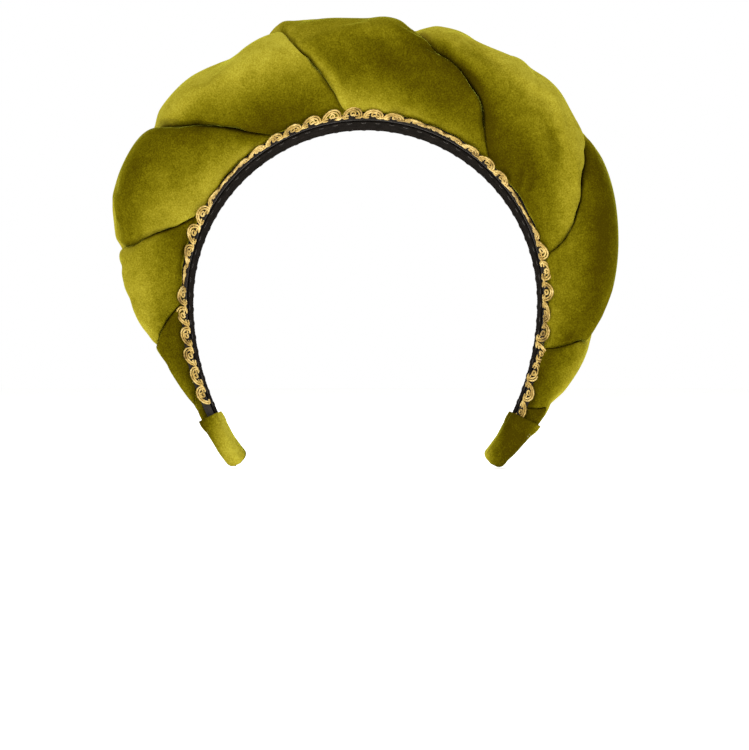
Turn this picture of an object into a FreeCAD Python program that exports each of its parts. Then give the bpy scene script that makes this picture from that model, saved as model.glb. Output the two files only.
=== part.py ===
import FreeCAD, Part
import math
import os
from FreeCAD import Vector

# Twisted velvet halo headband, in millimetres.
# X runs from the wearer's right to left ear as seen from the front, +Y points to the back
# of the head and +Z up.  The origin is the centre of the crown arc, so the arc's radius is
# the radius of the head that the lining touches.
# "s" is the distance along the head line from the tip at -X, "out" the distance outward from
# that line, and "y" the place across the band, front negative.

# Head line: a half circle over the crown, then an arm of larger radius curving in each side.
CROWN_RADIUS = 74.5
ARM_RADIUS = 110.0
ARM_DROP = 66.0
ARM_TURN = math.asin(ARM_DROP / ARM_RADIUS)
ARM_LENGTH = ARM_RADIUS * ARM_TURN
CROWN_LENGTH = math.pi * CROWN_RADIUS
HEAD_LINE = CROWN_LENGTH + 2 * ARM_LENGTH

# Layers of the band, outward from the head.
LINING_THICKNESS = 0.8
COVER_THICKNESS = 0.4
BAND_THICKNESS = 1.8
LAYER_GAP = 0.1
COVER_BASE = LINING_THICKNESS + LAYER_GAP
BAND_BASE = COVER_BASE + COVER_THICKNESS + LAYER_GAP
COVER_TOP = BAND_BASE + BAND_THICKNESS + LAYER_GAP + COVER_THICKNESS
BAND_WIDTH_CROWN = 25.0
BAND_WIDTH_TIP = 10.0
WIDTH_TAPER_POWER = 2.4
LINING_INSET = 1.5
LINING_START = 18.0

# The pair of stuffed velvet strands, twisted like a two-strand rope.
TWIST_START = 9.0
TWIST_END = HEAD_LINE - 7.0
FILLING_START = 50.0
FILLING_END = 352.0
STRAND_BASE = COVER_TOP + 0.2
VELVET_THICKNESS = 1.2
FILLING_GAP = 0.15
STRAND_GAP = 0.5
# How deep the creases are as a share of the twist's radius, and the share of it underneath.
CREASE_DEPTH = 0.2
CREASE_DEPTH_UNDER = 0.35
# The part of a lobe's width that the crease at each side takes, and how near a strand's inner
# corners come to its skin.
CREASE_SHARE = 0.05
CORNER_REACH = 0.93
BULGE_POWER = 2.2
SECTION_POWER = 2.3
FLANK_SLOWING = 0.5
MID_FRONT = math.radians(20)
# Where the creases between the lobes cross the middle of the front: crease 0 is the first.
CREASES = (28.0, 60.0, 96.0, 138.4, 170.9, 224.2, 277.5, 320.7, 347.8, 368.0)
# Height of the twist above the head line and half of its depth, each as (s, size).
TWIST_HEIGHT = (
    (0, 6.5), (14, 6.6), (28, 7.8), (43, 12.0), (57, 19.0), (71, 27.0), (84, 33.2), (97, 40.2),
    (110, 43.4), (136, 46.2), (147, 44.6), (168, 48.4), (188, 46.2), (214, 47.8), (232, 45.8),
    (246, 45.2), (266, 42.6), (285, 36.4), (305, 29.0), (320, 23.0), (333, 18.6), (347, 13.9),
    (356, 11.0), (HEAD_LINE, 6.5),
)
TWIST_HALF_DEPTH = (
    (0, 6.5), (22, 8.5), (40, 11.5), (70, 17.5), (104, 23.0), (147, 25.5), (188, 26.0),
    (230, 26.0), (268, 24.0), (304, 19.0), (332, 14.5), (354, 10.0), (HEAD_LINE, 6.5),
)
OUTER_POINTS = 18
CHORD_POINTS = 6
SECTION_SPACING = 4.0

# Velvet wraps that close the two ends over the tips.
WRAP_LENGTH = 21.0
WRAP_THICKNESS = 1.2
WRAP_GAP = 1.4
WRAP_UNDER = 0.6
WRAP_POWER = 3.5
WRAP_POINTS = 24
WRAP_SECTIONS = 9
TIP_OVERRUN = 1.5

# Thread: lashings at the ends, stitches along the back edge and along the lining.
THREAD = 0.6
LASHING_TURNS = 5
LASHING_START = 12.0
LASHING_PITCH = 1.1
LASHING_GAP = 0.3
STITCH_LENGTH = 3.0
TACKING_START = 26.0
TACKING_PITCH = 9.0
TACKING_LOW = 2.4
TACKING_LEAN = 1.6
LINING_THREAD = 0.4
LINING_THREAD_GAP = 0.02
LINING_STITCH_START = 24.0
LINING_STITCH_PITCH = 6.0
LINING_STITCH_LENGTH = 2.4
LINING_STITCH_EDGE = 1.5

# Gold gimp braid along the front inner edge: C-shaped scrolls with a curl inside each, open
# towards the head and joined by short links.  The openings are in degrees.
GIMP_PITCH = 8.5
GIMP_CORD = 1.0
GIMP_OUTER_LOOP = 5.4
GIMP_INNER_LOOP = 2.6
GIMP_START = 30.0
GIMP_END = HEAD_LINE - 18.0
GIMP_LIFT = 2.7
LINK_RADIUS = 0.7
SCROLL_OPENING = 80.0
CURL_OPENING = 60.0

BAND_SECTIONS = 40
SPLINE_DEGREE = 3
NEWTON_STEPS = 30
EDGE_SAMPLES = 9
ON_PLANE = 0.001


def head_line(s):
    """Point of the head line at s and the outward direction there."""
    if s < ARM_LENGTH:
        turn = (ARM_LENGTH - s) / ARM_RADIUS
        outward = Vector(-math.cos(turn), 0, -math.sin(turn))
        centre = Vector(ARM_RADIUS - CROWN_RADIUS, 0, 0)
        return centre + outward * ARM_RADIUS, outward
    if s > ARM_LENGTH + CROWN_LENGTH:
        turn = (s - ARM_LENGTH - CROWN_LENGTH) / ARM_RADIUS
        outward = Vector(math.cos(turn), 0, -math.sin(turn))
        centre = Vector(CROWN_RADIUS - ARM_RADIUS, 0, 0)
        return centre + outward * ARM_RADIUS, outward
    angle = math.pi - (s - ARM_LENGTH) / CROWN_RADIUS
    outward = Vector(math.cos(angle), 0, math.sin(angle))
    return outward * CROWN_RADIUS, outward


def place(s, y, out):
    """Point at s along the head line, y across the band and out from the head."""
    point, outward = head_line(s)
    return point + outward * out + Vector(0, y, 0)


def along(s):
    """Unit direction of the head line at s, towards +X over the crown."""
    return head_line(s)[1].cross(Vector(0, 1, 0)).negative()


def eased(knots, s):
    """Value at s on the smooth curve through (s, value) knots."""
    last = len(knots) - 1
    i = max(k for k in range(last) if knots[k][0] <= max(s, knots[0][0]))

    def slope(k):
        before = knots[max(k - 1, 0)]
        after = knots[min(k + 1, last)]
        return (after[1] - before[1]) / (after[0] - before[0])

    span = knots[i + 1][0] - knots[i][0]
    t = min(max((s - knots[i][0]) / span, 0), 1)
    rise = knots[i + 1][1] - knots[i][1]
    leave = slope(i) * span
    arrive = slope(i + 1) * span
    cubic = leave + arrive - 2 * rise
    square = 3 * rise - 2 * leave - arrive
    return knots[i][1] + leave * t + square * t**2 + cubic * t**3


def band_half_width(s):
    from_crown = min(abs(2 * s / HEAD_LINE - 1), 1)
    lost = (BAND_WIDTH_CROWN - BAND_WIDTH_TIP) * from_crown**WIDTH_TAPER_POWER
    return (BAND_WIDTH_CROWN - lost) / 2


def steps(start, end, count):
    return [start + (end - start) * i / (count - 1) for i in range(count)]


def strip(start, end, low, high, extra=0.0):
    """Flat strip bent along the head line, from low to high outward, as wide as the band + extra."""
    wires = []
    for s in steps(start, end, BAND_SECTIONS):
        half = band_half_width(s) + extra
        corners = ((-half, low), (half, low), (half, high), (-half, high))
        wires.append(Part.makePolygon([place(s, y, out) for y, out in corners + corners[:1]]))
    return Part.makeLoft(wires, True, False)


def lobe_turn(angle):
    """Lobes passed when going round the twist's section from the middle of the front."""
    bend = FLANK_SLOWING * (math.cos(angle) - math.cos(MID_FRONT))
    return (angle - MID_FRONT + bend) / math.pi


def angle_of(turn):
    """Angle round the twist's section where lobe_turn has the value turn."""
    angle = turn * math.pi + MID_FRONT
    for _ in range(NEWTON_STEPS):
        rate = (1 - FLANK_SLOWING * math.sin(angle)) / math.pi
        angle -= (lobe_turn(angle) - turn) / rate
    return angle


def lobe_at_mid_front(s):
    last = len(CREASES) - 1
    first_rate = 1 / (CREASES[1] - CREASES[0])
    if s < CREASES[0]:
        return (s - CREASES[0]) * first_rate
    knots = [(crease, number) for number, crease in enumerate(CREASES)]
    if s > CREASES[last]:
        return last + (s - CREASES[last]) / (CREASES[last] - CREASES[last - 1])
    return eased(knots, s)


def signed_power(value, power):
    return math.copysign(abs(value) ** power, value)


def twist_point(s, angle, scale, inset):
    """(y, out) on the twist's envelope, shrunk to scale of its radius and by inset."""
    half_height = (eased(TWIST_HEIGHT, s) - STRAND_BASE) / 2
    half_depth = eased(TWIST_HALF_DEPTH, s)
    y = -half_depth * signed_power(math.cos(angle), 2 / SECTION_POWER)
    out = half_height * signed_power(math.sin(angle), 2 / SECTION_POWER)
    radius = math.hypot(y, out)
    kept = scale * (radius - inset) / radius
    return y * kept, STRAND_BASE + half_height + out * kept


def bulge(part_of_lobe, angle):
    """Radius of a lobe as a share of the envelope's, least at its creases."""
    plump = math.sqrt(max(1 - abs(2 * part_of_lobe - 1) ** BULGE_POWER, 0))
    outward = 0.5 + 0.5 * math.sin(angle)
    depth = CREASE_DEPTH * (CREASE_DEPTH_UNDER + (1 - CREASE_DEPTH_UNDER) * outward)
    return 1 - depth * (1 - plump)


def strand_outline(s, strand, inset):
    """Closed outline of one strand's section: its share of the rope, closed past the centre."""
    turned = strand - lobe_at_mid_front(s)
    across = []
    for part_of_lobe in steps(CREASE_SHARE, 1 - CREASE_SHARE, OUTER_POINTS):
        angle = angle_of(turned + part_of_lobe)
        across.append(twist_point(s, angle, bulge(part_of_lobe, angle), inset))
    start, end = across[0], across[-1]
    middle = across[OUTER_POINTS // 2]
    centre_y, centre_out = 0.0, (eased(TWIST_HEIGHT, s) + STRAND_BASE) / 2
    reach = math.hypot(middle[0] - centre_y, middle[1] - centre_out)
    back_off = (STRAND_GAP / 2 + inset) / reach
    core = (
        centre_y + (middle[0] - centre_y) * back_off,
        centre_out + (middle[1] - centre_out) * back_off,
    )
    for t in steps(0, 1, CHORD_POINTS + 2)[1:-1]:
        side = end if t < 0.5 else start
        away = CORNER_REACH * abs(2 * t - 1)
        across.append(tuple(core[k] + (side[k] - core[k]) * away for k in (0, 1)))
    return [place(s, y, out) for y, out in across]


def tube_face(sections):
    """Smooth side surface with closed sections, whose control points are the given ones."""
    lengths = len(sections) - SPLINE_DEGREE
    around = len(sections[0])
    end_knot = SPLINE_DEGREE + 1
    surface = Part.BSplineSurface()
    surface.buildFromPolesMultsKnots(
        sections,
        [end_knot] + [1] * (lengths - 1) + [end_knot],
        [1] * (around + 1),
        list(range(lengths + 1)),
        list(range(around + 1)),
        False,
        True,
        SPLINE_DEGREE,
        SPLINE_DEGREE,
    )
    return surface.toShape()


def end_wire(face, s):
    """The closed edge of a strand's side that lies in the section at s."""
    point = place(s, 0, 0)
    direction = along(s)
    for edge in face.Edges:
        first, last = edge.FirstParameter, edge.LastParameter
        places = [edge.valueAt(t) for t in steps(first, last, EDGE_SAMPLES)]
        if max(abs((p - point).dot(direction)) for p in places) < ON_PLANE:
            return Part.Wire(edge)
    raise ValueError("no edge in the section at %.1f" % s)


def capped_solid(outlines, start, end):
    """Solid with a smooth side through the outlines and a flat cap at each end."""
    side = tube_face(outlines)
    caps = [Part.Face(end_wire(side, s)) for s in (start, end)]
    shell = Part.makeShell([side] + caps)
    shell.sewShape()
    solid = Part.makeSolid(shell)
    if solid.Volume < 0:
        solid.reverse()
    return solid


def strand_solid(strand, inset, start, end):
    """One strand between two sections, drawn in by inset all round."""
    sections = math.ceil((end - start) / SECTION_SPACING)
    outlines = [strand_outline(s, strand, inset) for s in steps(start, end, sections)]
    return capped_solid(outlines, start, end)


def strand_filling(strand):
    inset = VELVET_THICKNESS + FILLING_GAP
    return strand_solid(strand, inset, FILLING_START + FILLING_GAP, FILLING_END - FILLING_GAP)


def strand_velvet(strand):
    """Velvet tube of a strand, pressed flat and closed at both ends."""
    outside = strand_solid(strand, 0, TWIST_START, TWIST_END)
    hollow = strand_solid(strand, VELVET_THICKNESS, FILLING_START, FILLING_END)
    return outside.cut(hollow)


def band_cover():
    """Satin sleeve round the spring band, open at both tips."""
    sleeve = strip(0, HEAD_LINE, COVER_BASE, COVER_TOP, COVER_THICKNESS + LAYER_GAP)
    core = strip(
        -1, HEAD_LINE + 1, COVER_BASE + COVER_THICKNESS, COVER_TOP - COVER_THICKNESS, LAYER_GAP
    )
    return sleeve.cut(core)


def spring_band():
    return strip(0, HEAD_LINE, BAND_BASE, BAND_BASE + BAND_THICKNESS)


def lining_ribbon():
    return strip(LINING_START, HEAD_LINE - LINING_START, 0, LINING_THICKNESS, -LINING_INSET)


def edge_of_cover(s):
    """Distance of the cover's outer face from the middle of the band."""
    return band_half_width(s) + COVER_THICKNESS + LAYER_GAP


def wrapped_outline(s, gap, low):
    """Rounded outline round the band and the twist at s, gap clear of them."""
    half = max(edge_of_cover(s), eased(TWIST_HALF_DEPTH, s)) + gap
    high = eased(TWIST_HEIGHT, s) + gap
    points = []
    for i in range(WRAP_POINTS):
        angle = 2 * math.pi * i / WRAP_POINTS
        y = -half * signed_power(math.cos(angle), 2 / WRAP_POWER)
        out = (high - low) / 2 * signed_power(math.sin(angle), 2 / WRAP_POWER)
        points.append(place(s, y, (high + low) / 2 + out))
    return points


def wrap_solid(start, end, gap, low):
    outlines = [wrapped_outline(s, gap, low) for s in steps(start, end, WRAP_SECTIONS)]
    return capped_solid(outlines, start, end)


def end_wrap(tip, mouth):
    """Velvet pocket over one tip, closed at the tip and open at its mouth."""
    inward = math.copysign(1, mouth - tip)
    far = tip - inward * TIP_OVERRUN
    pocket = wrap_solid(
        *sorted((far - inward * WRAP_THICKNESS, mouth)),
        WRAP_GAP + WRAP_THICKNESS,
        -WRAP_UNDER - WRAP_THICKNESS,
    )
    hollow = wrap_solid(*sorted((far, mouth + inward)), WRAP_GAP, -WRAP_UNDER)
    return pocket.cut(hollow)


def end_lashing(first, step):
    """Turns of thread that bind the strands' flat ends to the covered band."""
    low = COVER_BASE - LAYER_GAP
    turns = []
    for i in range(LASHING_TURNS):
        s = first + i * step
        outside = wrap_solid(s, s + THREAD, LASHING_GAP + THREAD, low - THREAD)
        inside = wrap_solid(s - THREAD, s + 2 * THREAD, LASHING_GAP, low)
        turns.append(outside.cut(inside))
    return Part.makeCompound(turns)


def stitch(start, end, radius):
    run = end - start
    return Part.makeCylinder(radius, run.Length, start, run)


def spaced(start, end, pitch):
    count = int((end - start) // pitch) + 1
    return [start + i * pitch for i in range(count)]


def tacking_stitches():
    """Slanting stitches that hold the strands down along the band's front and back edges."""
    stitches = []
    for side in (-1, 1):
        for s in spaced(TACKING_START, HEAD_LINE - TACKING_START, TACKING_PITCH):
            y = side * (edge_of_cover(s) + LAYER_GAP + THREAD / 2)
            low = place(s, y, TACKING_LOW)
            high = place(s + TACKING_LEAN, y, TACKING_LOW + STITCH_LENGTH)
            stitches.append(stitch(low, high, THREAD / 2))
    return Part.makeCompound(stitches)


def lining_stitches():
    """A row of running stitches along each edge of the lining ribbon."""
    radius = LINING_THREAD / 2
    out = -radius - LINING_THREAD_GAP
    stitches = []
    for side in (-1, 1):
        for s in spaced(
            LINING_STITCH_START, HEAD_LINE - LINING_STITCH_START, LINING_STITCH_PITCH
        ):
            y = side * (band_half_width(s) - LINING_INSET - LINING_STITCH_EDGE)
            end = place(s + LINING_STITCH_LENGTH, y, out)
            stitches.append(stitch(place(s, y, out), end, radius))
    return Part.makeCompound(stitches)


def on_braid(shape, s):
    """Turn a shape drawn in its own XY plane to lie in the braid at s, its X along the band."""
    y = -(edge_of_cover(s) + LAYER_GAP + THREAD + LAYER_GAP + GIMP_CORD / 2)
    right = along(s)
    outward = head_line(s)[1]
    centre = place(s, y, GIMP_LIFT)
    shape.Placement = FreeCAD.Placement(
        FreeCAD.Matrix(
            right.x, outward.x, 0, centre.x,
            right.y, outward.y, -1, centre.y,
            right.z, outward.z, 0, centre.z,
            0, 0, 0, 1,
        )
    )
    return shape


def scrolls(loop, opening):
    """One C-shaped cord at each pitch of the braid, open towards the head."""
    cords = []
    for s in spaced(GIMP_START, GIMP_END, GIMP_PITCH):
        radius = (loop - GIMP_CORD) / 2
        cord = Part.makeTorus(
            radius, GIMP_CORD / 2, Vector(), Vector(0, 0, 1), 0, 360, 360 - opening
        )
        cord.rotate(Vector(), Vector(0, 0, 1), opening / 2 - 90)
        holder = Part.makeCompound([cord])
        cords.append(on_braid(holder, s).Solids[0])
    return Part.makeCompound(cords)


def gimp_links():
    """Twisted links that join one scroll of the braid to the next."""
    length = GIMP_PITCH - GIMP_OUTER_LOOP - 2 * LAYER_GAP
    links = []
    for s in spaced(GIMP_START, GIMP_END - GIMP_PITCH, GIMP_PITCH):
        middle = s + GIMP_PITCH / 2
        link = Part.makeCylinder(
            LINK_RADIUS, length, Vector(-length / 2, 0, 0), Vector(1, 0, 0)
        )
        holder = Part.makeCompound([link])
        links.append(on_braid(holder, middle).Solids[0])
    return Part.makeCompound(links)


def nodes():
    """Every node of the headband, as (name, shape)."""
    yield "spring_band", spring_band()
    yield "band_cover", band_cover()
    yield "lining_ribbon", lining_ribbon()
    yield "lining_stitches", lining_stitches()
    for letter, strand in (("a", 1), ("b", 0)):
        yield "strand_%s_velvet" % letter, strand_velvet(strand)
        yield "strand_%s_filling" % letter, strand_filling(strand)
    yield "tacking_stitches", tacking_stitches()
    yield "end_lashing_left", end_lashing(LASHING_START, LASHING_PITCH)
    yield "end_lashing_right", end_lashing(HEAD_LINE - LASHING_START, -LASHING_PITCH)
    yield "end_wrap_left", end_wrap(0, WRAP_LENGTH)
    yield "end_wrap_right", end_wrap(HEAD_LINE, HEAD_LINE - WRAP_LENGTH)
    yield "gimp_outer_scrolls", scrolls(GIMP_OUTER_LOOP, SCROLL_OPENING)
    yield "gimp_inner_curls", scrolls(GIMP_INNER_LOOP, CURL_OPENING)
    yield "gimp_links", gimp_links()


def solids_of(shape):
    """A single solid as it is, or a compound of the shape's solids."""
    solids = shape.Solids
    return solids[0] if len(solids) == 1 else Part.makeCompound(solids)


def main():
    os.makedirs("parts", exist_ok=True)
    for name, shape in nodes():
        part = solids_of(shape)
        if not part.isValid():
            raise ValueError("%s isn't a valid solid" % name)
        part.exportStep("parts/%s.step" % name)
        box = part.BoundBox
        print(
            "%-20s %3d solids %9.1f mm3  X %.1f %.1f  Y %.1f %.1f  Z %.1f %.1f"
            % (name, len(part.Solids), part.Volume, box.XMin, box.XMax, box.YMin, box.YMax,
               box.ZMin, box.ZMax)
        )


main()
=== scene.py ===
import math

import bpy
import numpy as np
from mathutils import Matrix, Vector, noise


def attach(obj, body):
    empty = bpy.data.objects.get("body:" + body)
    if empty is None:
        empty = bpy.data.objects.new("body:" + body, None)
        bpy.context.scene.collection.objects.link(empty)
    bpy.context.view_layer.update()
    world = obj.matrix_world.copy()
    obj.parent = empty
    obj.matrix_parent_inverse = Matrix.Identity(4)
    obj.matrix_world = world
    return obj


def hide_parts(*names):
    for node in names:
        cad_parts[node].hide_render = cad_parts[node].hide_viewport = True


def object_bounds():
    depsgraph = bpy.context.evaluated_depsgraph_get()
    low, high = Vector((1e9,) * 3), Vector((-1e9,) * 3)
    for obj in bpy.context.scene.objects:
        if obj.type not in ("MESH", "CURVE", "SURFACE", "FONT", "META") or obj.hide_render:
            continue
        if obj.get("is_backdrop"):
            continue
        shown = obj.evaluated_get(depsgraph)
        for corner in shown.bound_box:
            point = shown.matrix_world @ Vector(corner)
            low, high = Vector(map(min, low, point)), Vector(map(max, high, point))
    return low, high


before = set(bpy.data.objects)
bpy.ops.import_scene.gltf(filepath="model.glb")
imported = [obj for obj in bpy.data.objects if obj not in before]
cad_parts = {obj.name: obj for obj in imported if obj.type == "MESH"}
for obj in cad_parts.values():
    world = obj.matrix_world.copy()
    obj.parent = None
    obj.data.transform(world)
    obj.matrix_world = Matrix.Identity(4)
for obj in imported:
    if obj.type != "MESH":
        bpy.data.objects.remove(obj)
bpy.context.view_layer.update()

MM = 0.001

# ------------------------------------------------------------------ sizes, in millimetres
# "s" runs along the line where the lining meets the head, from the tip at -X.  "out" is the
# distance outward from that line and "y" the place across the band, front negative.
LINING_THICKNESS = 0.8
COVER_TOP = 3.7
CROWN_RADIUS = 74.5
ARM_RADIUS = 110.0
ARM_DROP = 66.0
ARM_LENGTH = ARM_RADIUS * math.asin(ARM_DROP / ARM_RADIUS)
CROWN_LENGTH = math.pi * CROWN_RADIUS
HEAD_LINE = CROWN_LENGTH + 2 * ARM_LENGTH
BAND_WIDTH_CROWN = 25.0
BAND_WIDTH_TIP = 10.0
WIDTH_TAPER_POWER = 2.4

# The twist's envelope: its height over the head line and half of its depth, as (s, size).
TWIST_HEIGHT = (
    (0, 6.5), (14, 6.6), (28, 7.8), (43, 12.0), (57, 19.0), (71, 27.0), (84, 33.2), (97, 40.2),
    (110, 43.4), (136, 46.2), (147, 44.6), (168, 48.4), (188, 46.2), (214, 47.8), (232, 45.8),
    (246, 45.2), (266, 42.6), (285, 36.4), (305, 29.0), (320, 23.0), (333, 18.6), (347, 13.9),
    (356, 11.0), (HEAD_LINE, 6.5),
)
TWIST_HALF_DEPTH = (
    (0, 6.5), (22, 8.5), (40, 11.5), (70, 17.5), (104, 23.0), (147, 25.5), (188, 26.0),
    (230, 26.0), (268, 24.0), (304, 19.0), (332, 14.5), (354, 10.0), (HEAD_LINE, 6.5),
)
TWIST_BASE = COVER_TOP + 0.3
SECTION_POWER = 2.3
FULL_HEIGHT = 48.0

# Creases between the lobes.  Each crease crosses the section's angles ANGLES (0 front,
# 90 away from the head, degrees) at these places s.
ANGLES = (-60, -35, -10, 20, 90)
CREASES = {
    -2: (-12, -15, -18, -22, -27),
    -1: (12, 9, 6, 2, -3),
    0: (36, 33, 30, 26, 21),
    1: (69.9, 65, 60.5, 56, 51.5),
    2: (106.4, 98.3, 93.3, 88.5, 85.5),
    3: (150.4, 142, 135, 127.5, 120.5),
    4: (180.2, 176.2, 172.4, 167.5, 162),
    5: (241, 232.5, 225.5, 208, 199.5),
    6: (287.5, 284.3, 278.5, 266, 252),
    7: (325.5, 324, 322.5, 320, 316.5),
    8: (351, 350, 349, 347.5, 345.5),
    9: (369, 368, 367, 365.5, 363),
    10: (388, 387, 386, 384, 381),
    11: (405, 404, 403, 401, 398),
}
# Behind and underneath, a crease runs on to where the same strand's crease before it starts:
# the share of that way at these angles.
BACK_ANGLES = ((150, 0.3), (200, 0.55), (240, 0.75), (300, 1.0))
FULL_TURN = 360
# At these creases the lobe on the +s side lies over its neighbour, elsewhere the other does.
UPPER_IS_NEXT = (0, 1, 2, 3)

# Past the ends of the list, a strand's next crease is this much further along s.
CREASE_STEP = 30
# The strands' first and last rows.
STRAND_START = 9
STRAND_END = HEAD_LINE - 7

# The strands roll down over both edges of the band, BAND_EDGE_TURN degrees round from their
# underside.  There the section is fuller and hangs lower, within these degrees of the edge.
UNDERSIDE = 270
BAND_EDGE_TURN = 29
EDGE_FULLNESS = 0.8
EDGE_FULL_TURN = 34
EDGE_DROP = 3.3
EDGE_DROP_TURN = 32
EDGE_DROP_TURN_UNDER = 8

# Details shrink with the twist, but to no less than a share of their size at the crown.
SMALLEST_SIZE = 0.12
SIZE_POWER = 0.9
# A lobe's width is taken part of the way up it, and across its slant.
WIDTH_AT_HEIGHT = 0.6
WIDTH_ACROSS_SLANT = 0.8
CREASE_DEPTH = 9.0
# Creases are only this deep, as a share, where the sine of the section angle is lowest.
UNDER_DEPTH = 0.16
UNDER_SINES = (-1.0, -0.4)
# The edge of a lobe that lies over its neighbour is sharp, and the other edge is soft.
SHARP_CORNER = 2.3
SOFT_CORNER = 7.5
CRISP_LOBES = (5,)  # both edges sharp
# A corner is no wider than its lobe's width over this.
CORNERS_PER_WIDTH = 2.3
OVERLAP = 1.2
PLUMPNESS = 3.2
PLUMP_POWER = 2.6
# How far up a crease's wall the velvet starts to come free, and is free.
FREE_CORNER = (0.3, 0.75)

# The strands' mesh: degrees from row to row, and columns up each crease's wall, over the
# lobe, and back through the core, which is smaller than the skin.
ROW_STEP = 5.0
CORNER_COLUMNS = 7
MIDDLE_COLUMNS = 30
CORE_COLUMNS = 5
CORE_SHARE = 0.45

# What each lobe looks like, as soft spots (share across it, section angle, reach across,
# reach in degrees, amount): dimples and swells in millimetres, then the lay of the pile, with
# the sheen and shade it shows painted in, from 0, stroked dark, to 1, stroked light, as levels
# and spots on them.
SWELLS = {
    2: ((0.5, 40, 0.25, 25, -0.8),),
    3: ((0.12, 62, 0.05, 8, -1.4), (0.6, 10, 0.3, 14, 0.8)),
    4: ((0.3, -20, 0.2, 14, -1.0), (0.9, 30, 0.04, 12, -1.3), (0.55, 70, 0.3, 20, -0.8)),
    5: (
        (0.19, -14, 0.055, 28, -2.2), (0.07, -16, 0.045, 22, 1.2), (0.05, 88, 0.06, 36, 3.6),
        (0.97, 86, 0.07, 50, -3.6), (0.74, 86, 0.1, 30, 0.5), (0.55, 18, 0.1, 8, -1.2),
    ),
    6: (
        (0.63, 0, 0.06, 8, -3.0), (0.1, 62, 0.04, 7, -3.0), (0.18, 56, 0.035, 8, 1.0),
        (0.26, 50, 0.04, 7, -2.4), (0.13, 74, 0.03, 6, -0.7), (0.42, -42, 0.035, 10, -1.8),
        (0.53, -40, 0.035, 10, -2.0), (0.64, -42, 0.035, 9, -1.5), (0.6, 60, 0.035, 12, -1.8),
        (0.52, 70, 0.07, 22, 1.0), (0.8, 34, 0.03, 12, -1.6), (0.36, 82, 0.14, 20, -1.4),
        (0.72, 70, 0.12, 14, 1.2), (0.3, 30, 0.1, 10, -1.3),
    ),
    7: (
        (0.9, -8, 0.06, 9, -1.9), (0.35, 25, 0.12, 14, -1.1), (0.75, 60, 0.1, 12, -0.8),
        (0.3, -40, 0.2, 5, -1.2),
    ),
    8: ((0.45, 20, 0.12, 20, -0.9),),
}
LAY_SHEEN_SHADE_ANGLES = (-60, -35, -10, 15, 40, 70)
# These levels and spots paint the sheen and shade that the pile shows into the colour, along with its
# lay.
LAY_SHEEN_SHADE = {
    # lobe: levels at the lay angles above on its first side, the same on its second side, spots
    0: ((0.2, 0.2, 0.3, 0.4, 0.45, 0.5), (0.2, 0.2, 0.3, 0.4, 0.45, 0.5)),
    1: ((0.15, 0.15, 0.26, 0.4, 0.46, 0.5), (0.12, 0.1, 0.1, 0.14, 0.2, 0.3)),
    2: (
        (0.3, 0.4, 0.38, 0.6, 0.76, 0.92), (0.06, 0.25, 0.5, 0.6, 0.7, 0.85),
        (0.45, 0, 0.3, 24, 0.14), (0.5, -58, 0.4, 12, -0.16),
    ),
    3: (
        (0.8, 0.78, 0.7, 0.44, 0.38, 0.66), (0.55, 0.3, 0.14, 0.12, 0.25, 0.45),
        (1.0, -48, 0.12, 20, -0.4), (0.5, 36, 0.2, 14, -0.14), (0.45, -44, 0.3, 14, 0.12),
    ),
    4: (
        (0.04, 0.06, 0.24, 0.38, 0.66, 1.0), (0.25, 0.32, 0.52, 0.85, 1.0, 1.0),
        (0.42, 16, 0.26, 20, 0.2), (0.4, -36, 0.35, 14, -0.1), (0.12, 30, 0.1, 14, 0.12),
    ),
    5: (
        (0.74, 0.6, 0.3, 0.46, 0.6, 0.5), (0.45, 0.3, 0.14, 0.06, 0.36, 0.34),
        (0.6, -28, 0.25, 14, -0.18), (0.25, -54, 0.2, 15, 0.14), (0.42, -5, 0.09, 9, -0.14),
        (0.05, -12, 0.035, 26, 0.35), (0.62, 24, 0.14, 12, 0.1),
    ),
    6: (
        (0.0, 0.02, 0.12, 0.42, 0.8, 0.95), (0.28, 0.52, 0.72, 0.76, 0.92, 1.0),
        (0.5, -22, 0.25, 12, -0.18), (0.04, 14, 0.06, 26, -0.4), (0.64, 3, 0.08, 8, -0.24),
        (0.27, 30, 0.09, 10, -0.16), (0.42, 14, 0.07, 8, -0.12),
        # These dark spots sit at the lobe's dents and paint the shade in them, as do the spots at
        # shares 0.64 and 0.27 above.
        (0.1, 62, 0.03, 7, -0.4), (0.26, 50, 0.03, 7, -0.25), (0.53, -40, 0.03, 10, -0.16),
        (0.42, -42, 0.03, 10, -0.14), (0.6, 60, 0.03, 12, -0.14),
    ),
    7: (
        (0.4, 0.38, 0.4, 0.22, 0.06, 0.34), (0.55, 0.44, 0.26, 0.24, 0.3, 0.3),
        # The spot at share 0.95 sits at the lobe's dent and paints the shade in it.
        (0.5, 22, 0.4, 20, -0.18), (0.95, -10, 0.05, 12, -0.2),
    ),
    8: (
        (0.4, 0.14, 0.26, 0.44, 0.58, 0.8), (0.3, 0.16, 0.3, 0.44, 0.6, 0.8),
        (0.5, -48, 0.35, 15, -0.2),
    ),
    9: ((0.3, 0.1, 0.05, 0.08, 0.25, 0.5), (0.3, 0.1, 0.05, 0.08, 0.25, 0.5)),
    10: ((0.3, 0.3, 0.3, 0.3, 0.3, 0.3), (0.3, 0.3, 0.3, 0.3, 0.3, 0.3)),
}
# The lay behind, with its painted sheen and shade, for even and odd lobes, with the front's spots
# fainter on it.
BACK_LAY_SHEEN_SHADE = {0: 0.6, 1: 0.28}
BACK_SPOTS = 0.7
TO_BACK_ANGLES = (88, 124)
# Along the outermost edge a painted sheen makes the colour lighter, where the pile is seen end on.
RIM_PAINTED_SHEEN = 0.3
RIM_SHEEN_ANGLES = (70, 84, 104, 130)
LAY_SHEEN_SHADE_LIMITS = (0.0, 0.9)
# Where cloth is gathered: lobe, section angle, reach in degrees, amount.
GATHERS = ((2, 70, 14, 0.4), (6, 52, 16, 1.0), (6, -34, 12, 1.0), (7, -10, 14, 0.6))


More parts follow.
